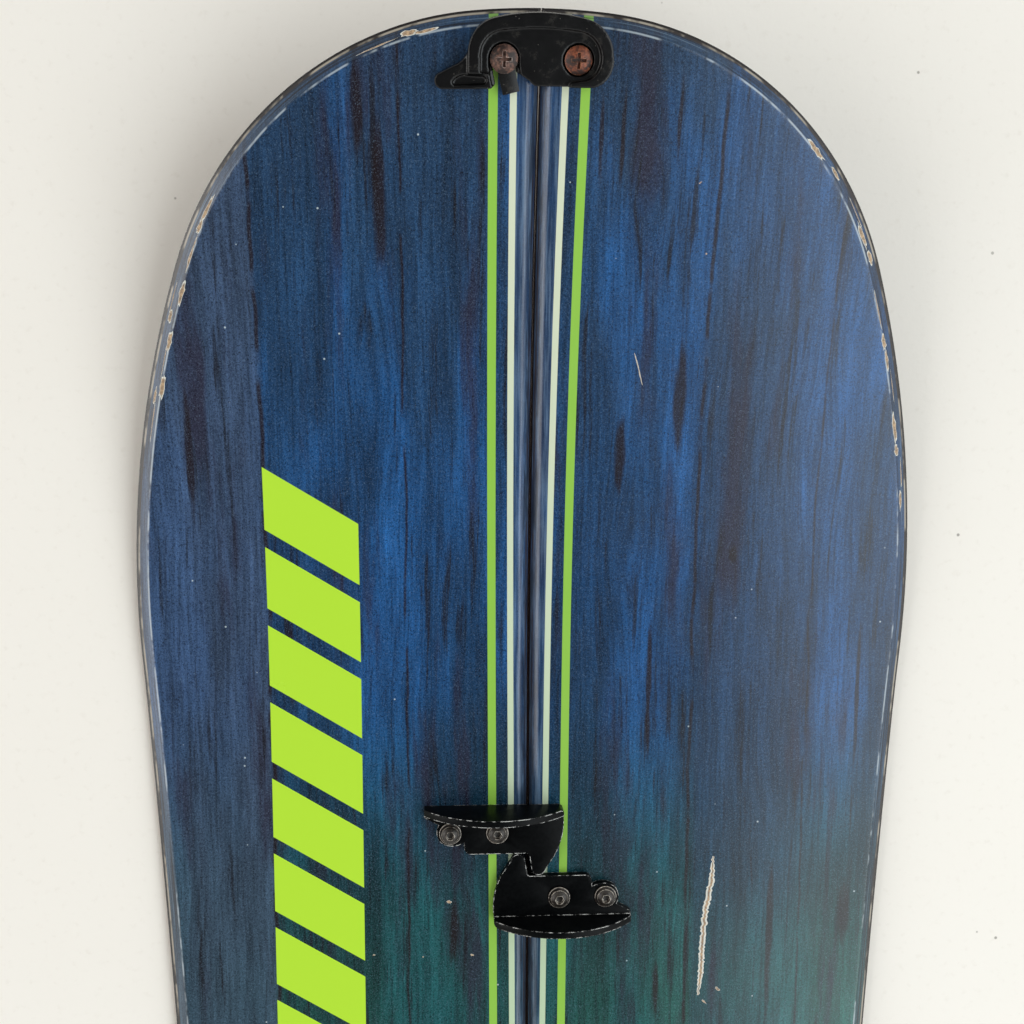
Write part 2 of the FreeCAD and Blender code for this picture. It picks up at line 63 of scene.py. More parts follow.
# ---- holes through the halves: places as drawn on the right half
INSERTS = [(x, y) for x in (25.0, 65.0)
           for y in (260.0, 280.0, 300.0, 320.0, -260.0, -280.0, -300.0, -320.0, 20.0, 60.0, -205.0)]
INSERT_R, BOLT_HOLE_R, SCREW_HOLE_R, NUT_R = 4.29, 2.6, 2.15, 7.04
HOOK_CENTRE, BOLTS_BACK = 489.4, 13.8
HOOK_BOLTS = [(x, y - BOLTS_BACK) for x in (12.5, 31.3) for y in (HOOK_CENTRE, -HOOK_CENTRE)]
CLIP_FROM_SEAM, CLIP_FROM_TIP = 12.4, 15.3
CLIP_SCREW = (CLIP_FROM_SEAM, LENGTH - CLIP_FROM_TIP)
CLIP_TILT = 20.46                      # degrees from upright of a clip's screws

# ---- how finely the meshes follow them
NOSE_STEP, SIDE_STEP = 2.5, 8.0
VOXEL, SOFTENING = 0.34, 7
SAME_POINT = 0.002                     # points nearer than this are joined


# ---------------------------------------------------------------- outline and profile
def nose_arcs():
    """Centre, radius and last bearing of each arc; a bearing is clockwise from +Y."""
    arcs, x, y, bearing = [], 0.0, LENGTH, 0.0
    for radius, turn in NOSE_ARCS:
        cx = x - radius * math.sin(bearing)
        cy = y - radius * math.cos(bearing)
        bearing += math.radians(turn)
        arcs.append([cx, cy, radius, bearing])
        x, y = cx + radius * math.sin(bearing), cy + radius * math.cos(bearing)
    extra = math.asin(arcs[-1][1] / (SIDECUT + arcs[-1][2]))
    arcs[-1][3] += extra
    side_x = arcs[-1][0] + (arcs[-1][2] + SIDECUT) * math.cos(extra)
    return arcs, side_x, extra


ARCS, SIDE_X, SIDE_TURN = nose_arcs()


def inset_of(x, y):
    """Distance of a plan point inside the outline."""
    y = abs(y)
    for cx, cy, radius, last in ARCS:
        if 0.0 <= math.atan2(x - cx, y - cy) <= last:
            return radius - math.hypot(x - cx, y - cy)
    return math.hypot(SIDE_X - x, y) - SIDECUT


def outline(inset, seam_x, nose_step, side_step):
    """Points and outward directions from the tip to the tail, starting and ending at x = seam_x."""
    stations = []
    first = math.asin(seam_x / (ARCS[0][2] - inset))
    start = 0.0
    for number, (cx, cy, radius, last) in enumerate(ARCS):
        steps = max(2, round(radius * (last - start) / nose_step))
        for i in range(steps):
            bearing = start + (last - start) * i / steps
            if number == 0:
                bearing = first + (last - first) * i / steps
            out = (math.sin(bearing), math.cos(bearing))
            stations.append(((cx + (radius - inset) * out[0], cy + (radius - inset) * out[1]), out))
        start = last
    steps = round(SIDECUT * SIDE_TURN / side_step)
    for i in range(steps):
        turn = SIDE_TURN * (1 - i / steps)
        out = (math.cos(turn), -math.sin(turn))
        stations.append(((SIDE_X - (SIDECUT + inset) * out[0], -(SIDECUT + inset) * out[1]), out))
    mirrored = [((x, -y), (ox, -oy)) for (x, y), (ox, oy) in reversed(stations)]
    middle = ((SIDE_X - SIDECUT - inset, 0.0), (1.0, 0.0))
    return stations + [middle] + mirrored


def base_z(y, above=0.0):
    """Height of a line this far above the base surface."""
    y = abs(y)
    if y <= ROCKER_START:
        return above
    turn, px, pz = 0.0, ROCKER_START, 0.0
    for radius, degrees in ROCKER_ARCS:
        cy, cz = px - radius * math.sin(turn), pz + radius * math.cos(turn)
        turn += math.radians(degrees)
        px, pz = cy + radius * math.sin(turn), cz - radius * math.cos(turn)
        inner = radius - above
        if y <= cy + inner * math.sin(turn) or (radius, degrees) == ROCKER_ARCS[-1]:
            return cz - math.sqrt(inner * inner - (y - cy) ** 2)


def top_z(y, depth=0.0):
    """Height of a line this far below the top surface."""
    y = abs(y)
    if y > ROCKER_START:
        return base_z(y, THICK_NOSE - depth)
    run = (TAPER[1] - TAPER[0]) / 2
    fall = (THICK_MID - THICK_NOSE) / 2
    radius = (run * run + fall * fall) / (2 * fall)
    if y <= TAPER[0]:
        thick = THICK_MID
    elif y <= TAPER[0] + run:
        thick = THICK_MID - radius + math.sqrt(radius ** 2 - (y - TAPER[0]) ** 2)
    elif y < TAPER[1]:
        thick = THICK_NOSE + radius - math.sqrt(radius ** 2 - (TAPER[1] - y) ** 2)
    else:
        thick = THICK_NOSE
    return thick - depth


def ramp(inside, width):
    """Fall of a cap slope at this distance inside its rim, with the shoulder eased."""
    left = width - inside
    if left <= -SHOULDER_EASE:
        return 0.0
    if left < SHOULDER_EASE:
        return BEVEL_DROP / width * (left + SHOULDER_EASE) ** 2 / (4 * SHOULDER_EASE)
    return BEVEL_DROP * left / width


def cap_z(x, y, depth=0.0):
    """Height of the cap's outer skin, or of its underside at a depth."""
    fall = max(ramp(inset_of(x, y) - depth, OUTER_BEVEL), ramp(x - SEAM_X - depth, SEAM_BEVEL))
    return top_z(y, depth) - fall


def skin_z(x, y):
    """Underside of the printed skin: on the edges' plane round its rim, hollow inside."""
    floor = base_z(y, EDGE_HEIGHT)
    if inset_of(x, y) < SKIN or x - SEAM_X < SKIN:
        return floor
    return max(floor, cap_z(x, y, SKIN))


# ---------------------------------------------------------------- meshes
def add_object(name, mesh, body, materials, smooth_angle):
    """A new object from a mesh, riding on a body."""
    obj = bpy.data.objects.new(name, mesh)
    bpy.context.scene.collection.objects.link(obj)
    for material in materials:
        mesh.materials.append(material)
    mesh.shade_smooth()
    mesh.set_sharp_from_angle(angle=math.radians(smooth_angle))
    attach(obj, body)
    return obj


def mesh_of(name, verts, faces, sign=1):
    """Mesh from millimetre points; sign -1 mirrors it to the other side of the seam."""
    mesh = bpy.data.meshes.new(name)
    turned = faces if sign > 0 else [face[::-1] for face in faces]
    mesh.from_pydata([(sign * x * MM, y * MM, z * MM) for x, y, z in verts], [], turned)
    mesh.validate()
    return mesh


def plan_triangles(loop, lines, holes, spacing, margin):
    """Triangles of a plan region: its loop, crease lines, round holes and a grid in between."""
    points, edges = [], []

    def add(path, closed):
        start = len(points)
        points.extend(Vector(p) for p in path)
        edges.extend((start + i, start + i + 1) for i in range(len(path) - 1))
        if closed:
            edges.append((len(points) - 1, start))

    add(loop, True)
    for line in lines:
        add(line, False)
    for x, y, radius, squeeze in holes:
        for grow, count in ((0.0, 36), (1.2, 36), (3.5, 18)):
            add([(x + (radius + grow) * math.cos(t), y + (radius + grow) * squeeze * math.sin(t))
                 for t in (2 * math.pi * i / count for i in range(count))], True)
    rows = int(LENGTH / spacing)
    for j in range(-rows, rows + 1):
        for i in range(int(160 / spacing)):
            x, y = margin + (i + 0.5 * (j % 2)) * spacing, j * spacing
            near = any(math.hypot(x - hx, y - hy) < radius + 7 for hx, hy, radius, _ in holes)
            if inset_of(x, y) > margin and not near:
                points.append(Vector((x, y)))
    verts, _, faces, _, _, _ = delaunay_2d_cdt(points, edges, [], 1, 1e-5)

    def open_here(face):
        x, y = (sum(verts[v][k] for v in face) / 3 for k in (0, 1))
        return any(math.hypot(x - hx, (y - hy) / squeeze) < radius * 0.999
                   for hx, hy, radius, squeeze in holes)

    return [tuple(v) for v in verts], [tuple(face) for face in faces if not open_here(face)]


def closed_slab(name, verts, faces, top, under, sign, lean=None):
    """Solid between two heights over a triangulated plan."""
    used = sorted({v for face in faces for v in face})
    place = {v: i for i, v in enumerate(used)}
    flat = [verts[v] for v in used]
    count = len(flat)

    def shifted(x, y, z):
        return (x, y + lean(x, y, z), z) if lean else (x, y, z)

    points = [shifted(x, y, top(x, y)) for x, y in flat] + [shifted(x, y, under(x, y)) for x, y in flat]
    solid, sides = [], {}
    for face in faces:
        a, b, c = (place[v] for v in face)
        solid.append((a, b, c))
        solid.append((c + count, b + count, a + count))
        for pair in ((a, b), (b, c), (c, a)):
            sides[pair] = True
    for a, b in sides:
        if (b, a) not in sides:
            solid.append((b, a, a + count, b + count))
    mesh = mesh_of(name, points, solid, sign)
    rim = mesh.attributes.new("rim", "FLOAT", "POINT")
    rim.data.foreach_set("value", [inset_of(x, y) for x, y in flat] * 2)
    return mesh


def swept_bar(name, sections, sign):
    """Closed bar through a row of rings of points."""
    size = len(sections[0])
    verts = [point for ring in sections for point in ring]
    faces = [tuple(range(size))[::-1], tuple(range(len(verts) - size, len(verts)))]
    for i in range(len(sections) - 1):
        for k in range(size):
            j = (k + 1) % size
            faces.append((i * size + k, i * size + j, (i + 1) * size + j, (i + 1) * size + k))
    return mesh_of(name, verts, faces, sign)


def edge_profile():
    """Cross section of a steel edge: distance in from its face, and height."""
    soft = 0.25
    return [(soft, 0.0), (EDGE_WIDTH, 0.0), (EDGE_WIDTH, EDGE_HEIGHT), (soft / 2, EDGE_HEIGHT),
            (0.0, EDGE_HEIGHT - soft / 2), (0.0, soft)]


def outer_edge(name, sign):
    rings = []
    for (x, y), (ox, oy) in outline(0.0, SEAM_X + EDGE_WIDTH, NOSE_STEP, SIDE_STEP):
        rings.append([(x - n * ox, y - n * oy, base_z(y - n * oy, z)) for n, z in edge_profile()])
    return swept_bar(name, rings[::-1], sign)


def inner_edge(name, sign):
    reach = LENGTH - 0.03
    count = 260
    rows = [reach * (1 - 2 * i / count) for i in range(count + 1)]
    rings = [[(SEAM_X + n, y, base_z(y, z)) for n, z in edge_profile()] for y in rows]
    return swept_bar(name, rings, sign)


def column(x, step, inset):
    """Points along the board at one distance from the seam."""
    reach = LENGTH - inset
    count = round(2 * reach / step)
    while inset_of(x, reach) < inset:
        reach -= 0.05
    return [(x, reach * (1 - 2 * i / count)) for i in range(count + 1)]


def half_holes(side, radii):
    """A half's round holes: (x, y, radius, squeeze along y)."""
    sign = 1 if side == "right" else -1
    bolt_r, screw_r = radii
    holes = [(x, sign * y, bolt_r, 1.0) for x, y in HOOK_BOLTS]
    x, y = CLIP_SCREW
    return holes + [(x, end * y, screw_r, 0.94) for end in (1, -1)]


def topsheet(side):
    """The printed skin of one half, with its sloping sides and holes."""
    sign = 1 if side == "right" else -1
    side_line = [p for p, _ in outline(0.0, SEAM_X, NOSE_STEP, SIDE_STEP)]
    seam = column(SEAM_X, SIDE_STEP, 0.02)[1:-1]
    lines = []
    for inset in (0.4, 0.88, 0.92, 2.6, 4.5, 4.9, 5.3, 5.7, 6.1, 8.0):
        lines.append([p for p, _ in outline(inset, SEAM_X + 0.02, NOSE_STEP, SIDE_STEP)])
    for gap in (0.88, 0.92, 2.1, 2.9, 3.3, 3.7, 4.1, 4.5):
        lines.append(column(SEAM_X + gap, SIDE_STEP, 0.03))
    holes = half_holes(side, (BOLT_HOLE_R, SCREW_HOLE_R)) + [(x, y, INSERT_R, 1.0) for x, y in INSERTS]
    verts, faces = plan_triangles(side_line + seam[::-1], lines, holes, 11.0, 10.0)
    return closed_slab(side + "_print", verts, faces, cap_z, skin_z, sign)


def base_sheet(side):
    """The running base of one half, with its pockets for nuts."""
    sign = 1 if side == "right" else -1
    seam_x = SEAM_X + EDGE_WIDTH
    side_line = [p for p, _ in outline(EDGE_WIDTH, seam_x, NOSE_STEP, SIDE_STEP)]
    seam = column(seam_x, SIDE_STEP, EDGE_WIDTH + 0.02)[1:-1]
    holes = half_holes(side, (NUT_R, NUT_R))
    verts, faces = plan_triangles(side_line + seam[::-1], [], holes, 12.0, 6.0)
    tilt = math.tan(math.radians(CLIP_TILT))
    reach = NUT_R + 0.1

    def lean(x, y, z):
        """Shift along y that tilts a clip screw's pocket to lie along its screw."""
        by_clip = abs(abs(y) - CLIP_SCREW[1]) < reach and abs(x - CLIP_SCREW[0]) < reach
        return -math.copysign(tilt, y) * (z - base_z(y, BASE / 2)) if by_clip else 0.0

    return closed_slab(side + "_base", verts, faces, lambda x, y: base_z(y, BASE), lambda x, y: base_z(y),
                       sign, lean)


def cad_mesh(node):
    """A CAD node's mesh as a new bmesh, its doubled points joined."""
    bm = bmesh.new()
    bm.from_mesh(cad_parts[node].data)
    bmesh.ops.remove_doubles(bm, verts=bm.verts[:], dist=SAME_POINT * MM)
    return bm


def from_cad(node, bevel, segments=2):
    """A CAD node's mesh with its flat faces joined and its arrises rounded."""
    bm = cad_mesh(node)
    bmesh.ops.dissolve_limit(bm, angle_limit=math.radians(0.4), verts=bm.verts[:], edges=bm.edges[:])
    for face in bm.faces:
        face.material_index = 0
    sharp = math.radians(30.0)
    arrises = [e for e in bm.edges if len(e.link_faces) == 2 and e.calc_face_angle(0.0) > sharp]
    bmesh.ops.bevel(bm, geom=arrises, offset=bevel * MM, offset_type="OFFSET", segments=segments,
                    profile=0.5, affect="EDGES", clamp_overlap=True, material=1)
    return bm


def finished(bm, name, body, materials, node):
    """Make a piece from a bmesh, in place of its CAD node."""
    mesh = bpy.data.meshes.new(name)
    bmesh.ops.triangulate(bm, faces=[f for f in bm.faces if len(f.verts) > 4])
    bm.to_mesh(mesh)
    bm.free()
    obj = add_object(name, mesh, body, materials, 38)
    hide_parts(node)


def moulded(node, name, body, material):
    """Make a moulding: the CAD solid with every corner softened."""
    bm = cad_mesh(node)
    rough = bpy.data.meshes.new(name + "_rough")
    bm.to_mesh(rough)
    bm.free()
    holder = bpy.data.objects.new(name + "_rough", rough)
    bpy.context.scene.collection.objects.link(holder)
    remesh = holder.modifiers.new("remesh", "REMESH")
    remesh.mode = "VOXEL"
    remesh.voxel_size = VOXEL * MM
    soften = holder.modifiers.new("soften", "SMOOTH")
    soften.factor = 0.5
    soften.iterations = SOFTENING
    evaluated = holder.evaluated_get(bpy.context.evaluated_depsgraph_get())
    mesh = bpy.data.meshes.new_from_object(evaluated)
    mesh.name = name
    bpy.data.objects.remove(holder)
    obj = add_object(name, mesh, body, [material], 60)
    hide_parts(node)


# ---------------------------------------------------------------- materials
def linear(r, g, b):
    """Linear colour of a display colour, 0 to 255."""
    shares = [c / 255 for c in (r, g, b)]
    return tuple(s / 12.92 if s <= 0.04045 else ((s + 0.055) / 1.055) ** 2.4 for s in shares) + (1.0,)


class Paint:
    """One material's shader, with short names for the nodes that feed it."""

    def __init__(self, name):
        self.material = bpy.data.materials.new(name)
        self.material.use_nodes = True
        self.tree = self.material.node_tree
        self.shader = self.tree.nodes["Principled BSDF"]
        self.place = self.node("ShaderNodeTexCoord").outputs["Object"]

    def node(self, kind, **settings):
        made = self.tree.nodes.new(kind)
        for key, value in settings.items():
            setattr(made, key, value)
        return made

    def feed(self, socket, value):
        if isinstance(value, bpy.types.NodeSocket):
            self.tree.links.new(value, socket)
        else:
            socket.default_value = value

    def set(self, **inputs):
        for name, value in inputs.items():
            self.feed(self.shader.inputs[name.replace("_", " ")], value)

    def math(self, operation, *values):
        made = self.node("ShaderNodeMath", operation=operation)
        for socket, value in zip(made.inputs, values):
            self.feed(socket, value)
        return made.outputs[0]

    def split(self, vector):
        made = self.node("ShaderNodeSeparateXYZ")
        self.feed(made.inputs[0], vector)
        return made.outputs

    def join(self, x, y, z):
        made = self.node("ShaderNodeCombineXYZ")
        for socket, value in zip(made.inputs, (x, y, z)):
            self.feed(socket, value)
        return made.outputs[0]

    def scaled(self, vector, scale, shift=(0, 0, 0)):
        made = self.node("ShaderNodeMapping")
        self.feed(made.inputs["Vector"], vector)
        made.inputs["Scale"].default_value = scale
        made.inputs["Location"].default_value = shift
        return made.outputs[0]

    def noise(self, vector, scale=1.0, detail=2.0, roughness=0.5):
        made = self.node("ShaderNodeTexNoise")
        self.feed(made.inputs["Vector"], vector)
        for key, value in (("Scale", scale), ("Detail", detail), ("Roughness", roughness)):
            made.inputs[key].default_value = value
        return made.outputs[0]

    def cells(self, vector, scale):
        """Distance to the nearest of scattered points, and that point's random number."""
        made = self.node("ShaderNodeTexVoronoi")
        self.feed(made.inputs["Vector"], vector)
        made.inputs["Scale"].default_value = scale
        return made.outputs["Distance"], self.split(made.outputs["Color"])[0]

    def step(self, value, low, high):
        """0 below low, 1 above high, eased between; falls instead if low is over high."""
        made = self.node("ShaderNodeMapRange", interpolation_type="SMOOTHSTEP", clamp=True)
        rising = high >= low
        self.feed(made.inputs[0], value)
        made.inputs[1].default_value = low if rising else high
        made.inputs[2].default_value = high if rising else low
        made.inputs[3].default_value = 0.0 if rising else 1.0
        made.inputs[4].default_value = 1.0 if rising else 0.0
        return made.outputs[0]

    def band(self, value, centre, half_width, soft):
        """1 within half_width of centre."""
        away = self.math("ABSOLUTE", self.math("SUBTRACT", value, centre))
        return self.step(away, half_width + soft, half_width - soft)

    def mix(self, factor, a, b, blend="MIX"):
        made = self.node("ShaderNodeMix", data_type="RGBA", blend_type=blend)
        for index, value in ((0, factor), (6, a), (7, b)):
            self.feed(made.inputs[index], value)
        return made.outputs[2]

    def ramp(self, value, stops):
        made = self.node("ShaderNodeValToRGB")
        self.feed(made.inputs[0], value)
        ramp_stops = made.color_ramp.elements
        for i, (at, colour) in enumerate(stops):
            stop = ramp_stops[i] if i < 2 else ramp_stops.new(at)
            stop.position = at
            stop.color = colour
        return made.outputs[0]

    def arris(self, radius):
        """1 along the corners of a piece, within about this radius."""
        eased = self.node("ShaderNodeBevel", samples=6)
        eased.inputs["Radius"].default_value = radius * MM
        turned = self.node("ShaderNodeVectorMath", operation="DOT_PRODUCT")
        self.feed(turned.inputs[0], eased.outputs[0])
        self.feed(turned.inputs[1], self.node("ShaderNodeNewGeometry").outputs["True Normal"])
        return self.step(turned.outputs["Value"], 0.94, 0.84)

    def bump(self, height, strength, distance):
        made = self.node("ShaderNodeBump")
        made.inputs["Strength"].default_value = strength
        made.inputs["Distance"].default_value = distance
        self.feed(made.inputs["Height"], height)
        self.feed(self.shader.inputs["Normal"], made.outputs[0])


# Places on the print, millimetres: across from the seam, back from the tip, half width, half length.
KNOTS = ((39.0, 190.0, 9.0, 30.0), (40.0, 55.0, 7.0, 18.0), (-60.0, 118.0, 10.0, 34.0),
         (112.0, 150.0, 9.0, 30.0))
STREAKS = (
    (49.0, 32.0, 0.8, 14.0), (22.0, 40.0, 0.9, 14.0), (29.5, 38.0, 0.8, 16.0), (48.0, 243.0, 1.1, 30.0),
    (133.0, 248.0, 0.9, 30.0), (79.6, 190.0, 1.6, 4.0), (-55.0, 60.0, 2.4, 26.0), (-62.0, 30.0, 2.2, 16.0),
    (-93.0, 232.0, 1.4, 18.0), (100.0, 350.0, 1.6, 34.0), (131.0, 340.0, 2.6, 13.0), (53.0, 372.0, 1.3, 12.0),
    (-30.0, 345.0, 2.4, 14.0), (56.0, 128.0, 2.6, 20.0), (34.0, 150.0, 2.2, 14.0), (-128.0, 150.0, 1.6, 24.0))
# Dark joints between planks: distance from the seam, half width.
JOINTS = ((65.0, 0.7), (-101.0, 0.75), (-48.0, 0.45), (112.0, 0.4))
# Stripes along the seam: distance from it at the tip, what they lose per millimetre back, half width.
CREAM_STRIPE, LIME_STRIPE = (8.99, 0.0071, 1.18), (15.84, 0.0048, 1.6)
STRIPE_END = 400.0                     # back from the tip, where the stripes turn parallel
# Slanted bars on the left half: middle and half width across; then, along the half, first bar,
# pitch and length of one bar, and middle and half length of them all.
BAR_MIDDLE, BAR_HALF = -83.8, 17.8
BAR_FIRST, BAR_PITCH, BAR_LENGTH = 155.0, 31.0, 24.0
BARS_MIDDLE, BARS_HALF = 348.0, 193.0
BAR_SLANT, SLANT_FROM = 0.62, -101.5   # millimetres along per millimetre across, and from where


def print_material():
    """Satin print of blue planks that turn to sea green, with stripes along the seam."""
    p = Paint("print")
    xyz = p.split(p.place)
    x = p.math("MULTIPLY", xyz[0], 1000.0)
    back = p.math("SUBTRACT", LENGTH, p.math("MULTIPLY", xyz[1], 1000.0))
    across = p.math("ABSOLUTE", x)

    warp = p.math("MULTIPLY", p.math("SUBTRACT", p.noise(p.scaled(p.place, (22, 7, 0)), 1, 2), 0.5), 9.0)
    bent = p.math("ADD", x, warp)
    for kx, ky, width, reach in KNOTS:
        dx = p.math("DIVIDE", p.math("SUBTRACT", x, kx), width)
        dy = p.math("DIVIDE", p.math("SUBTRACT", back, ky), reach)
        away = p.math("ADD", p.math("MULTIPLY", dx, dx), p.math("MULTIPLY", dy, dy))
        pull = p.math("MULTIPLY", p.math("EXPONENT", p.math("MULTIPLY", away, -1.0)), width * -0.8)
        bent = p.math("ADD", bent, p.math("MULTIPLY", pull, dx))
    grain_at = p.join(p.math("MULTIPLY", bent, 0.001), xyz[1], 0.0)

    ground = p.ramp(p.math("DIVIDE", back, 2 * LENGTH), [
        (0.0, linear(35, 60, 88)), (0.045, linear(30, 62, 96)), (0.12, linear(22, 60, 100)),
        (0.150, linear(19, 54, 88)), (0.172, linear(18, 50, 74)), (0.198, linear(18, 54, 62)),
        (0.23, linear(22, 66, 62)), (0.42, linear(30, 84, 62)), (0.72, linear(26, 78, 66)),
        (1.0, linear(22, 56, 72))])
    broad = p.noise(p.scaled(grain_at, (30, 6, 0)), 1, 3, 0.5)
    bright = p.mix(p.step(back, 240.0, 340.0), linear(28, 82, 138), linear(28, 88, 92))
    colour = p.mix(p.math("MULTIPLY", p.step(broad, 0.45, 0.62), 0.85), ground, bright)
    colour = p.mix(p.math("MULTIPLY", p.step(x, -99.0, -103.0), 0.6), colour, linear(68, 82, 106))
    right_plank = p.math("MULTIPLY", p.step(x, 66.0, 69.0), p.step(x, 128.0, 96.0))
    colour = p.mix(p.math("MULTIPLY", right_plank, 0.4), colour, linear(34, 62, 96))
    # Painted sheen: the print made lighter and greener over the right half, from about 320 mm back from the
    # tip.
    low_right_sheen = p.math("MULTIPLY", p.step(x, 10.0, 110.0), p.step(back, 318.0, 372.0))
    colour = p.mix(p.math("MULTIPLY", low_right_sheen, 0.3), colour, linear(34, 118, 104))
    boards = p.noise(p.scaled(grain_at, (110, 10, 0), (3, 1, 0)), 1, 4, 0.6)
    tone = p.math("ADD", 0.1, p.math("MULTIPLY", boards, 1.8))
    colour = p.mix(1.0, colour, p.join(tone, tone, tone), "MULTIPLY")
    fibres = p.noise(p.scaled(grain_at, (700, 30, 0)), 1, 3, 0.65)
    fibre_tone = p.math("ADD", -0.15, p.math("MULTIPLY", fibres, 2.3))
    colour = p.mix(1.0, colour, p.join(fibre_tone, fibre_tone, fibre_tone), "MULTIPLY")

    dusk = linear(40, 34, 52)
    dark = linear(30, 17, 18)
    shade = p.noise(p.scaled(grain_at, (60, 7, 0), (7, 2, 0)), 1, 5, 0.62)
    colour = p.mix(p.math("MULTIPLY", p.step(shade, 0.52, 0.68), 0.8), colour, dusk)
    ticks = p.noise(p.scaled(grain_at, (240, 14, 0), (1, 9, 0)), 1, 4, 0.65)
    colour = p.mix(p.math("MULTIPLY", p.step(ticks, 0.55, 0.68), 0.8), colour, linear(22, 20, 26))
    marks = 0.0
    ragged = p.math("MULTIPLY", p.math("SUBTRACT", p.noise(p.scaled(p.place, (500, 60, 0)), 1, 3), 0.5), 2.2)
    for sx, sy, width, reach in STREAKS:
        dx = p.math("DIVIDE", p.math("SUBTRACT", x, sx), width)
        dy = p.math("DIVIDE", p.math("SUBTRACT", back, sy), reach)
        away = p.math("ADD", p.math("MULTIPLY", dx, dx), p.math("MULTIPLY", dy, dy))
        marks = p.math("MAXIMUM", marks, p.step(p.math("ADD", away, ragged), 1.5, 0.2))
    for joint, half_width in JOINTS:
        bends = p.noise(p.scaled(p.place, (0, 26, 0), (joint, 0, 0)), 1, 4)
        wander = p.math("MULTIPLY", p.math("SUBTRACT", bends, 0.5), 4.5)
        line = p.band(p.math("ADD", x, wander), joint, half_width, 0.45)
        fade = p.step(p.noise(p.scaled(p.place, (0, 40, 0), (joint, 3, 0)), 1, 3), 0.36, 0.5)
        marks = p.math("MAXIMUM", marks, p.math("MULTIPLY", line, fade))
    colour = p.mix(p.math("MULTIPLY", marks, 0.85), colour, dark)

    grit = p.noise(p.scaled(p.place, (1500, 1150, 1500)), 1, 3, 0.75)
    colour = p.mix(p.math("MULTIPLY", p.step(grit, 0.54, 0.74), 0.17), colour, linear(140, 165, 188))
    colour = p.mix(p.math("MULTIPLY", p.step(grit, 0.50, 0.30), 0.75), colour, linear(6, 10, 20))
    salt = p.noise(p.scaled(p.place, (2900, 2300, 2900), (5, 2, 0)), 1, 1, 0.5)
    colour = p.mix(p.math("MULTIPLY", p.step(salt, 0.60, 0.74), 0.26), colour, linear(120, 146, 172))
    colour = p.mix(p.math("MULTIPLY", p.step(salt, 0.42, 0.28), 0.7), colour, linear(6, 10, 18))
    dots, chance = p.cells(p.place, 170.0)
    sparse = p.math("MULTIPLY", p.step(dots, 0.075, 0.045), p.step(chance, 0.90, 0.92))
    colour = p.mix(p.math("MULTIPLY", sparse, 0.7), colour, linear(200, 214, 220))

    middle = p.step(across, 7.6, 7.2)
    pale = p.noise(p.scaled(p.place, (900, 26, 0), (2, 5, 0)), 1, 4, 0.65)
    inner = p.mix(p.step(pale, 0.40, 0.66), linear(34, 56, 88), linear(104, 128, 156))
    colour = p.mix(p.math("MULTIPLY", middle, 0.62), colour, inner)
    torn = p.noise(p.scaled(p.place, (500, 40, 0), (8, 1, 0)), 1, 4, 0.65)
    lip = p.math("MULTIPLY", p.step(across, 3.9, 2.2), p.step(torn, 0.42, 0.60))
    colour = p.mix(p.math("MULTIPLY", lip, 0.75), colour, linear(24, 26, 36))
    lip = p.math("MULTIPLY", p.band(across, 1.3, 0.35, 0.2), p.step(torn, 0.56, 0.46))
    colour = p.mix(p.math("MULTIPLY", lip, 0.8), colour, linear(44, 30, 26))
    start, loss, half = CREAM_STRIPE
    cream_at = p.math("SUBTRACT", start, p.math("MULTIPLY", p.math("MINIMUM", back, STRIPE_END), loss))
    cream = p.band(p.math("SUBTRACT", across, cream_at), 0.0, half, 0.12)
    creams = p.mix(p.step(back, 40.0, 420.0), linear(214, 222, 196), linear(190, 212, 178))
    colour = p.mix(cream, colour, creams)
    start, loss, half = LIME_STRIPE
    lime_at = p.math("SUBTRACT", start, p.math("MULTIPLY", p.math("MINIMUM", back, STRIPE_END), loss))
    lime = p.band(p.math("SUBTRACT", across, lime_at), 0.0, half, 0.12)
    colour = p.mix(lime, colour, linear(146, 198, 78))

    slope = p.math("SUBTRACT", back, p.math("MULTIPLY", p.math("SUBTRACT", x, SLANT_FROM), BAR_SLANT))
    turn = p.math("MODULO", p.math("SUBTRACT", slope, BAR_FIRST), BAR_PITCH)
    bars = p.step(turn, BAR_LENGTH + 0.3, BAR_LENGTH)
    bars = p.math("MULTIPLY", bars, p.band(x, BAR_MIDDLE, BAR_HALF, 0.15))
    bars = p.math("MULTIPLY", bars, p.band(slope, BARS_MIDDLE, BARS_HALF, 0.2))
    colour = p.mix(bars, colour, linear(184, 230, 58))

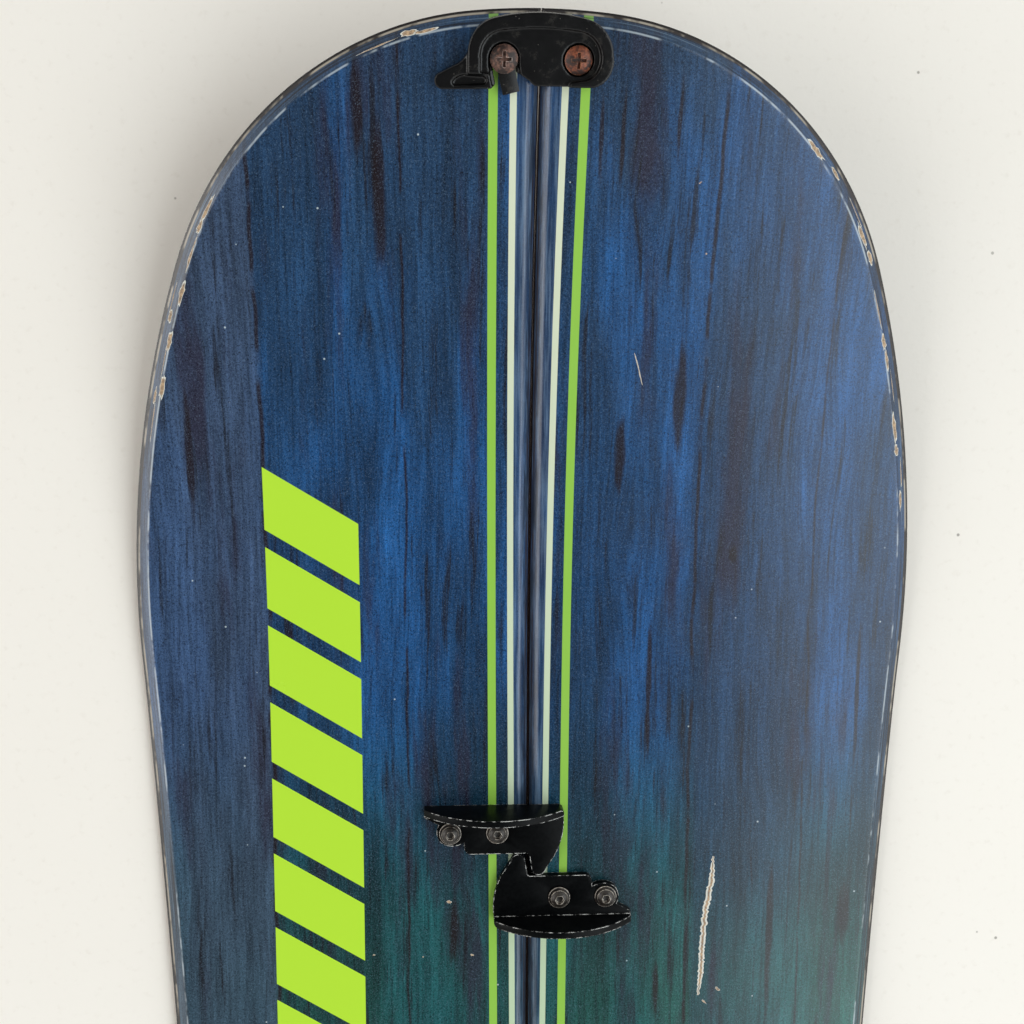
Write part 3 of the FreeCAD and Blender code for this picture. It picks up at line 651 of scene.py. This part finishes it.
    rim = p.node("ShaderNodeAttribute", attribute_name="rim").outputs["Fac"]
    patchy = p.noise(p.scaled(p.place, (90, 60, 90)), 1, 3, 0.6)
    lengthwise = [p.math("MULTIPLY", xyz[axis], 22.0) for axis in (0, 1)]
    lined = p.noise(p.join(p.math("MULTIPLY", rim, 1.7), *lengthwise), 1, 4, 0.6)
    slope_here = p.step(rim, 5.2, 4.7)
    colour = p.mix(p.math("MULTIPLY", slope_here, 0.35), colour, linear(52, 72, 92))
    for low, high, cover, tint in ((0.50, 0.38, 0.8, linear(18, 20, 28)),
                                   (0.58, 0.68, 0.45, linear(120, 144, 164))):
        lines = p.math("MULTIPLY", p.step(lined, low, high), cover)
        colour = p.mix(p.math("MULTIPLY", slope_here, lines), colour, tint)
    # Painted highlight: a pale, patchy line along the cap's outer shoulder, about 5.2 mm in from the outline.
    shoulder = p.math("MULTIPLY", p.band(rim, 5.2, 0.3, 0.25), p.step(patchy, 0.46, 0.58))
    colour = p.mix(p.math("MULTIPLY", shoulder, 0.6), colour, linear(196, 208, 216))
    grime = p.mix(patchy, linear(20, 18, 20), linear(58, 46, 40))
    colour = p.mix(p.math("MULTIPLY", p.step(rim, 1.9, 1.3), 0.8), colour, grime)
    bare = p.mix(p.step(patchy, 0.46, 0.60), linear(44, 38, 34), linear(160, 152, 138))
    colour = p.mix(p.band(rim, 1.25, 0.35, 0.2), colour, bare)
    colour = p.mix(p.step(rim, 0.85, 0.70), colour, linear(22, 18, 17))
    colour = p.mix(p.step(across, 0.75, 0.5), colour, linear(34, 24, 22))

    rough = p.math("ADD", 0.17, p.math("MULTIPLY", p.noise(p.scaled(p.place, (60, 60, 60)), 1, 4), 0.14))
    p.set(Base_Color=colour, Roughness=rough, Coat_Weight=0.1, Coat_Roughness=0.15)
    p.bump(p.math("ADD", p.math("MULTIPLY", grit, 0.5), p.math("MULTIPLY", fibres, 0.4)), 0.15, 0.0001)
    return p.material


def base_material():
    p = Paint("sintered")
    stone = p.noise(p.scaled(p.place, (1800, 30, 400)), 1, 3, 0.6)
    cloud = p.noise(p.place, 14, 4)
    colour = p.mix(stone, linear(24, 24, 27), linear(50, 50, 54))
    colour = p.mix(p.math("MULTIPLY", p.step(cloud, 0.5, 0.75), 0.5), colour, linear(96, 96, 98))
    scratch = p.noise(p.scaled(p.place, (260, 1.6, 1), (4, 0, 0)), 1, 5, 0.7)
    colour = p.mix(p.math("MULTIPLY", p.step(scratch, 0.66, 0.76), 0.6), colour, linear(120, 120, 120))
    p.set(Base_Color=colour, Roughness=p.math("ADD", 0.42, p.math("MULTIPLY", cloud, 0.2)))
    p.bump(stone, 0.4, 0.0001)
    return p.material


def metal(name, dark, light, metallic, rough, scale=900.0, blotch=None, cover=0.55, gloss=0.5,
          rim_wear_and_highlight=None, reach=0.4):
    """Worn metal: two tones in fine grain, with blotches of rust or finish and pale corners: rubbed wear on
    the hooks, bolts and washers, a painted highlight on the rusty screw heads.
    """
    p = Paint(name)
    grain = p.noise(p.place, scale, 4, 0.65)
    patch = p.noise(p.place, scale * 0.28, 5, 0.65)
    colour = p.mix(p.step(grain, 0.3, 0.7), linear(*dark), linear(*light))
    roughness = p.math("ADD", rough, p.math("MULTIPLY", patch, 0.25))
    if blotch:
        cover_at = p.step(patch, cover - 0.07, cover + 0.07)
        colour = p.mix(cover_at, colour, linear(*blotch))
        p.set(Metallic=p.math("MULTIPLY", p.math("SUBTRACT", 1.0, cover_at), metallic))
    else:
        p.set(Metallic=metallic)
    # Pale corners: rubbed wear on most pieces, a painted highlight on the rusty screw heads.
    if rim_wear_and_highlight:
        rim_patches = p.noise(p.place, 420.0, 4, 0.7)
        kept = p.math("MULTIPLY", p.arris(reach), p.step(rim_patches, 0.46, 0.58))
        colour = p.mix(kept, colour, linear(*rim_wear_and_highlight))
    p.set(Base_Color=colour, Roughness=roughness, Specular_IOR_Level=gloss)
    p.bump(p.math("ADD", grain, patch), 0.35, 0.00008)
    return p.material


def plastic_material():
    """Black moulding with a fine grain, greyed where it rubs."""
    p = Paint("moulding")
    grain = p.noise(p.place, 2600, 2, 0.6)
    rub = p.noise(p.place, 240, 5, 0.65)
    colour = p.mix(grain, linear(6, 6, 7), linear(14, 14, 15))
    colour = p.mix(p.math("MULTIPLY", p.step(rub, 0.56, 0.72), 0.22), colour, linear(82, 78, 72))
    dots, chance = p.cells(p.place, 900)
    dust = p.math("MULTIPLY", p.step(dots, 0.16, 0.08), p.step(chance, 0.86, 0.9))
    colour = p.mix(p.math("MULTIPLY", dust, 0.6), colour, linear(130, 126, 118))
    rough = p.math("ADD", 0.15, p.math("MULTIPLY", rub, 0.2))
    p.set(Base_Color=colour, Roughness=rough, Specular_IOR_Level=0.36)
    p.bump(p.math("ADD", grain, p.math("MULTIPLY", rub, 0.5)), 0.2, 0.00006)
    return p.material


def wood_material():
    p = Paint("strips")
    strips = p.noise(p.scaled(p.place, (60, 0.4, 0)), 1, 1)
    grain = p.noise(p.scaled(p.place, (900, 14, 900)), 1, 4, 0.6)
    colour = p.mix(p.step(strips, 0.4, 0.6), linear(206, 176, 128), linear(176, 140, 96))
    p.set(Base_Color=p.mix(p.math("MULTIPLY", grain, 0.5), colour, linear(120, 88, 56)), Roughness=0.6)
    p.bump(grain, 0.3, 0.0001)
    return p.material


def laminate_material():
    p = Paint("laminate")
    weave = p.noise(p.scaled(p.place, (1400, 90, 1400)), 1, 3)
    p.set(Base_Color=p.mix(weave, linear(186, 190, 160), linear(214, 214, 190)), Roughness=0.35)
    p.bump(weave, 0.3, 0.0001)
    return p.material


def wear_material():
    """Bared laminate: pale torn rims round a brown middle."""
    p = Paint("bared")
    core = p.node("ShaderNodeAttribute", attribute_name="core").outputs["Fac"]
    rag = p.noise(p.place, 900, 4, 0.7)
    inside = p.step(p.math("ADD", core, p.math("MULTIPLY", p.math("SUBTRACT", rag, 0.5), 0.5)), 0.48, 0.72)
    tan = p.mix(p.step(rag, 0.35, 0.65), linear(124, 104, 86), linear(196, 166, 132))
    pale = p.mix(rag, linear(196, 198, 190), linear(236, 234, 224))
    p.set(Base_Color=p.mix(inside, pale, tan), Roughness=0.6)
    p.bump(rag, 0.5, 0.0001)
    return p.material


def floor_material():
    """Pale painted floor with a few flecks."""
    p = Paint("floor")
    cloud = p.noise(p.place, 3.0, 5, 0.6)
    fine = p.noise(p.place, 260.0, 3, 0.6)
    colour = p.mix(cloud, linear(241, 235, 225), linear(250, 246, 239))
    colour = p.mix(p.math("MULTIPLY", p.step(fine, 0.55, 0.8), 0.25), colour, linear(222, 214, 202))
    dots, chance = p.cells(p.place, 120.0)
    flecks = p.math("MULTIPLY", p.step(dots, 0.10, 0.05), p.step(chance, 0.93, 0.96))
    colour = p.mix(p.math("MULTIPLY", flecks, 0.7), colour, linear(120, 112, 100))
    p.set(Base_Color=colour, Roughness=0.7)
    p.bump(p.math("ADD", fine, cloud), 0.25, 0.0004)
    return p.material


# ---------------------------------------------------------------- the halves
PRINT = print_material()
SINTERED = base_material()
EDGE_STEEL = metal("edge", (92, 78, 66), (150, 136, 120), 0.8, 0.38, 600, (84, 52, 34), 0.55)
BLACK = metal("anodised", (4, 5, 6), (10, 12, 13), 0.0, 0.22, 700, gloss=0.08,
              rim_wear_and_highlight=(226, 226, 222), reach=0.6)
WORN = metal("worn_bright", (176, 176, 172), (245, 245, 240), 0.25, 0.28, 1100, (10, 11, 12), 0.50)
BOLT = metal("bolt", (22, 19, 17), (66, 60, 54), 0.2, 0.28, 1300, (30, 23, 20), 0.60,
             rim_wear_and_highlight=(226, 218, 204), reach=0.4)
BOLT_RIM = metal("bolt_rim", (120, 110, 98), (226, 218, 206), 0.2, 0.24, 1300, (60, 46, 38), 0.58)
WASHER = metal("washer", (26, 22, 20), (76, 66, 58), 0.2, 0.30, 1300, (18, 16, 15), 0.52,
               rim_wear_and_highlight=(170, 154, 136), reach=0.3)
ZINC = metal("zinc", (150, 150, 150), (200, 200, 200), 0.9, 0.30, 900)
NUT = metal("nut", (120, 118, 114), (180, 178, 172), 0.9, 0.32, 900, (96, 72, 54), 0.62)
# Rust for the screw heads. The pale corners of the brown and red rust, and their two lighter copies for the
# bevelled rims, are painted highlights on rust.
RUST_BROWN = metal("rust_brown", (62, 40, 32), (128, 92, 78), 0.1, 0.4, 1100, (36, 22, 18), 0.50,
                   rim_wear_and_highlight=(206, 186, 176), reach=0.45)
RUST_PALE_HIGHLIGHT = metal("rust_pale_highlight", (128, 100, 92), (206, 184, 174), 0.2, 0.4, 1500, (96, 58, 46), 0.56)
RUST_RED = metal("rust_red", (84, 40, 24), (150, 84, 56), 0.1, 0.4, 1100, (44, 24, 18), 0.50,
                 rim_wear_and_highlight=(224, 158, 118), reach=0.45)
RUST_ORANGE_HIGHLIGHT = metal("rust_orange_highlight", (138, 72, 40), (214, 158, 118), 0.2, 0.4, 1700, (88, 44, 28), 0.56)
MOULDING = plastic_material()
BARED = wear_material()
WOOD = wood_material()
GLASS = laminate_material()

for side, sign in (("right", 1), ("left", -1)):
    body = side + "_half"
    cap = add_object(side + "_print", topsheet(side), body, [PRINT], 24)
    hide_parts(side + "_topsheet")
    base = add_object(side + "_running_base", base_sheet(side), body, [SINTERED], 24)
    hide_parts(side + "_base_sheet")
    for place, make in (("outer", outer_edge), ("inner", inner_edge)):
        name = f"{side}_{place}_edge"
        bar = add_object(name + "_bar", make(name + "_bar", sign), body, [EDGE_STEEL], 24)
        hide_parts(name)
    for end in ("front", "rear"):
        node = f"{side}_{end}_hook"
        finished(from_cad(node, 0.48), node + "_plate", body, [BLACK, WORN], node)
    node = side + "_hook_bolts"
    finished(from_cad(node, 0.2), side + "_bolts", body, [BOLT, BOLT_RIM], node)
    node = side + "_hook_washers"
    finished(from_cad(node, 0.2), side + "_washers", body, [WASHER, BOLT_RIM], node)
    for layer, material in (("core", WOOD), ("upper_laminate", GLASS), ("lower_laminate", GLASS),
                            ("inserts", ZINC), ("hook_tnuts", NUT), ("clip_tnuts", NUT)):
        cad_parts[f"{side}_{layer}"].data.materials[0] = material

# Each screw head: rust, with a lighter rust copy on its bevelled rim as a painted highlight.
for node, body, rusts in (("right_tip_pivot_screw", "right_half", [RUST_RED, RUST_ORANGE_HIGHLIGHT]),
                          ("left_tip_post_screw", "left_half", [RUST_BROWN, RUST_PALE_HIGHLIGHT]),
                          ("right_tail_post_screw", "right_half", [RUST_BROWN, RUST_PALE_HIGHLIGHT]),
                          ("left_tail_pivot_screw", "left_half", [RUST_RED, RUST_ORANGE_HIGHLIGHT])):
    finished(from_cad(node, 0.26), node + "_head", body, rusts, node)
for node, body in (("left_tip_post_keeper", "left_half"), ("right_tail_post_keeper", "right_half")):
    finished(from_cad(node, 0.35, 3), node + "_bush", body, [MOULDING, MOULDING], node)
for node in ("right_tip_pivot_sleeve", "left_tail_pivot_sleeve"):
    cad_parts[node].data.materials[0] = ZINC
for node in ("tip_clip", "tail_clip"):
    moulded(node, node + "_arm", node, MOULDING)


# ---------------------------------------------------------------- wear on the topsheet
def surface_point(x, back, lift):
    """Point just above the skin: x across, back from the tip."""
    y = LENGTH - back
    return (x, y, cap_z(abs(x), y) + lift)


def scratch(name, body, path, width, seed):
    """Torn line: two raised pale rims with a dip between them."""
    dice = random.Random(seed)
    rows = []
    spine = []
    for (x0, d0), (x1, d1) in zip(path, path[1:]):
        steps = max(2, int(abs(d1 - d0) / 0.7))
        spine += [(x0 + (x1 - x0) * i / steps, d0 + (d1 - d0) * i / steps) for i in range(steps)]
    spine.append(path[-1])
    for i, (x, d) in enumerate(spine):
        taper = min(1.0, 0.35 + 4 * min(i, len(spine) - 1 - i) / len(spine))
        half = width / 2 * taper * dice.uniform(0.8, 1.2)
        sway = dice.uniform(-0.12, 0.12) * width
        rows.append([(x + sway + half * k, d, lift) for k, lift in
                     ((-1.0, -0.12), (-0.85, 0.08), (-0.22, 0.03), (0.22, 0.03), (0.85, 0.08), (1.0, -0.12))])
    count = len(rows[0])
    verts, core = [], []
    for row in rows:
        for k, (x, d, lift) in enumerate(row):
            verts.append(surface_point(x, d, lift))
            core.append((0.0, 0.1, 0.75, 0.75, 0.1, 0.0)[k])
    faces = []
    for i in range(len(rows) - 1):
        for k in range(count - 1):
            a = i * count + k
            faces.append((a, a + count, a + count + 1, a + 1))
        faces.append((i * count + count - 1, (i + 1) * count + count - 1, (i + 1) * count, i * count))
    faces.append(tuple(range(count)))
    faces.append(tuple(range(len(verts) - count, len(verts)))[::-1])
    wear_piece(name, body, verts, faces, core)


def wear_piece(name, body, verts, faces, core):
    """Make a piece of wear; core runs from 0 at its torn rim to 1 in its bared middle."""
    mesh = mesh_of(name, verts, faces)
    bm = bmesh.new()
    bm.from_mesh(mesh)
    bmesh.ops.recalc_face_normals(bm, faces=bm.faces[:])
    bm.to_mesh(mesh)
    bm.free()
    mesh.attributes.new("core", "FLOAT", "POINT").data.foreach_set("value", core)
    piece = add_object(name, mesh, body, [BARED], 50)


def chips(name, body, spots, seed):
    """Knocked-off flakes: thin ragged islands with a pale rim, in one piece."""
    dice = random.Random(seed)
    verts, faces, core = [], [], []
    for x, d, along, wide, lean in spots:
        start = len(verts)
        ring = 18
        jitter = [dice.uniform(0.7, 1.25) for _ in range(ring)]
        for grow, lift, tone in ((0.45, 0.05, 1.0), (0.8, 0.05, 0.45), (1.0, -0.12, 0.0)):
            for i in range(ring):
                t = 2 * math.pi * i / ring
                u = math.cos(t) * wide / 2 * grow * jitter[i]
                v = math.sin(t) * along / 2 * grow * jitter[i]
                verts.append(surface_point(x + u * math.cos(lean) - v * math.sin(lean),
                                           d + u * math.sin(lean) + v * math.cos(lean), lift))
                core.append(tone)
        verts.append(surface_point(x, d, 0.05))
        core.append(1.0)
        verts.append(surface_point(x, d, -0.14))
        core.append(0.0)
        top, low = start + 3 * ring, start + 3 * ring + 1
        for i in range(ring):
            j = (i + 1) % ring
            faces.append((top, start + i, start + j))
            for r in (0, 1):
                a, b = start + r * ring, start + (r + 1) * ring
                faces.append((a + i, b + i, b + j, a + j))
            faces.append((low, start + 2 * ring + j, start + 2 * ring + i))
    wear_piece(name, body, verts, faces, core)


def shoulder_spots(side, first, last, count, seed):
    """Chips scattered along a stretch of the outer shoulder."""
    dice = random.Random(seed)
    sign = 1 if side == "right" else -1
    line = [(p, out) for p, out in outline(0.0, SEAM_X, 1.0, 1.0) if first < LENGTH - p[1] < last]
    spots = []
    for i in range(count):
        (x, y), (ox, oy) = line[int((i + dice.uniform(0.1, 0.9)) / count * (len(line) - 1))]
        inset = dice.uniform(2.4, 5.4)
        thin = i % 3 == 2
        spots.append((sign * (x - inset * ox), LENGTH - (y - inset * oy),
                      dice.uniform(12.0, 20.0) if thin else dice.uniform(5.0, 13.0),
                      dice.uniform(0.4, 0.6) if thin else dice.uniform(1.1, 2.6), sign * math.atan2(-oy, ox)))
    return spots


SCRATCH = ((75.9, 315.0), (75.6, 324.0), (73.2, 338.0), (72.2, 352.0), (71.9, 366.0), (70.9, 375.0))
HAIRLINE = ((37.8, 112.0), (39.4, 116.5), (41.4, 123.9))
# Nicks: across from the seam, back from the tip, length, width, lean in radians.
RIGHT_NICKS = [(57.9, 52.8, 1.6, 0.5, 0.9), (62.2, 76.6, 0.8, 0.7, 0.0), (73.5, 378.0, 3.2, 0.9, -0.8),
               (79.0, 372.5, 3.0, 1.2, -0.9), (23.5, 17.5, 4.5, 1.4, 0.8)]
LEFT_NICKS = [(-31.9, 332.0, 1.4, 2.2, 0.1), (-22.6, 354.9, 0.9, 1.8, 0.1), (-62.4, 353.8, 0.7, 1.2, 0.0),
              (-42.5, 355.2, 0.7, 0.7, 0.0)]

scratch("right_scratch", "right_half", SCRATCH, 2.5, 3)
scratch("right_hairline", "right_half", HAIRLINE, 0.45, 5)
chips("left_shoulder_chips", "left_half",
      shoulder_spots("left", 58, 140, 12, 11) + shoulder_spots("left", 3, 10, 3, 12), 21)
chips("right_shoulder_chips", "right_half", shoulder_spots("right", 36, 178, 13, 13), 22)
chips("right_nicks", "right_half", RIGHT_NICKS, 23)
chips("left_nicks", "left_half", LEFT_NICKS, 24)


# ---------------------------------------------------------------- floor, light and camera
CAMERA_PLACE = (-0.03043, 0.68139, 0.43079)   # metres
CAMERA_TURNS = (0.0556, 0.1159, -0.0026)      # radians
CAMERA_LENS = 38.67                           # millimetres, on a 36 mm sensor


def add_floor():
    """Plain pale floor just under the board."""
    size = 6.0
    corners = [(-size, -size, 0), (size, -size, 0), (size, size, 0), (-size, size, 0)]
    mesh = bpy.data.meshes.new("floor")
    mesh.from_pydata(corners, [], [(0, 1, 2, 3)])
    floor = bpy.data.objects.new("floor", mesh)
    floor.location.z = -0.0004
    mesh.materials.append(floor_material())
    bpy.context.scene.collection.objects.link(floor)


def add_lamp(name, place, target, size, power, colour):
    """Soft rectangular lamp that faces its target."""
    lamp = bpy.data.lights.new(name, "AREA")
    lamp.shape = "RECTANGLE"
    lamp.size, lamp.size_y = size
    lamp.energy = power
    lamp.color = colour
    holder = bpy.data.objects.new(name, lamp)
    holder.location = place
    holder.rotation_euler = (Vector(target) - Vector(place)).to_track_quat("-Z", "Y").to_euler()
    bpy.context.scene.collection.objects.link(holder)


def add_world(low, high):
    """Even light from all round, dimmer overhead."""
    world = bpy.data.worlds.new("studio")
    bpy.context.scene.world = world
    world.use_nodes = True
    tree = world.node_tree
    background = tree.nodes["Background"]
    background.inputs["Color"].default_value = (1.0, 0.99, 0.97, 1.0)
    split = tree.nodes.new("ShaderNodeSeparateXYZ")
    tree.links.new(tree.nodes.new("ShaderNodeTexCoord").outputs["Generated"], split.inputs[0])
    fade = tree.nodes.new("ShaderNodeMapRange")
    fade.interpolation_type = "SMOOTHSTEP"
    for socket, value in zip(fade.inputs[1:5], (0.35, 0.85, low, high)):
        socket.default_value = value
    tree.links.new(split.outputs[2], fade.inputs[0])
    tree.links.new(fade.outputs[0], background.inputs["Strength"])


def add_camera():
    """Above the nose, looking almost straight down."""
    yaw, pitch, roll = CAMERA_TURNS
    facing = Matrix.Rotation(roll, 3, "Z") @ Matrix.Rotation(pitch, 3, "X") @ Matrix.Rotation(yaw, 3, "Y")
    camera = bpy.data.cameras.new("camera")
    camera.sensor_width = 36.0
    camera.lens = CAMERA_LENS
    camera.clip_start = 0.01
    holder = bpy.data.objects.new("camera", camera)
    holder.matrix_world = Matrix.Translation(CAMERA_PLACE) @ facing.transposed().to_4x4()
    bpy.context.scene.collection.objects.link(holder)
    bpy.context.scene.camera = holder


add_floor()
add_world(1.05, 0.12)
add_lamp("key", (1.36, 0.20, 1.5), (0.05, 0.40, 0.0), (2.6, 1.6), 33.0, (0.90, 0.97, 1.0))
add_lamp("fill", (-1.8, 0.5, 0.9), (0.0, 0.5, 0.0), (1.6, 1.4), 15.0, (1.0, 0.98, 0.95))
add_camera()
bpy.context.scene.view_settings.view_transform = "Standard"
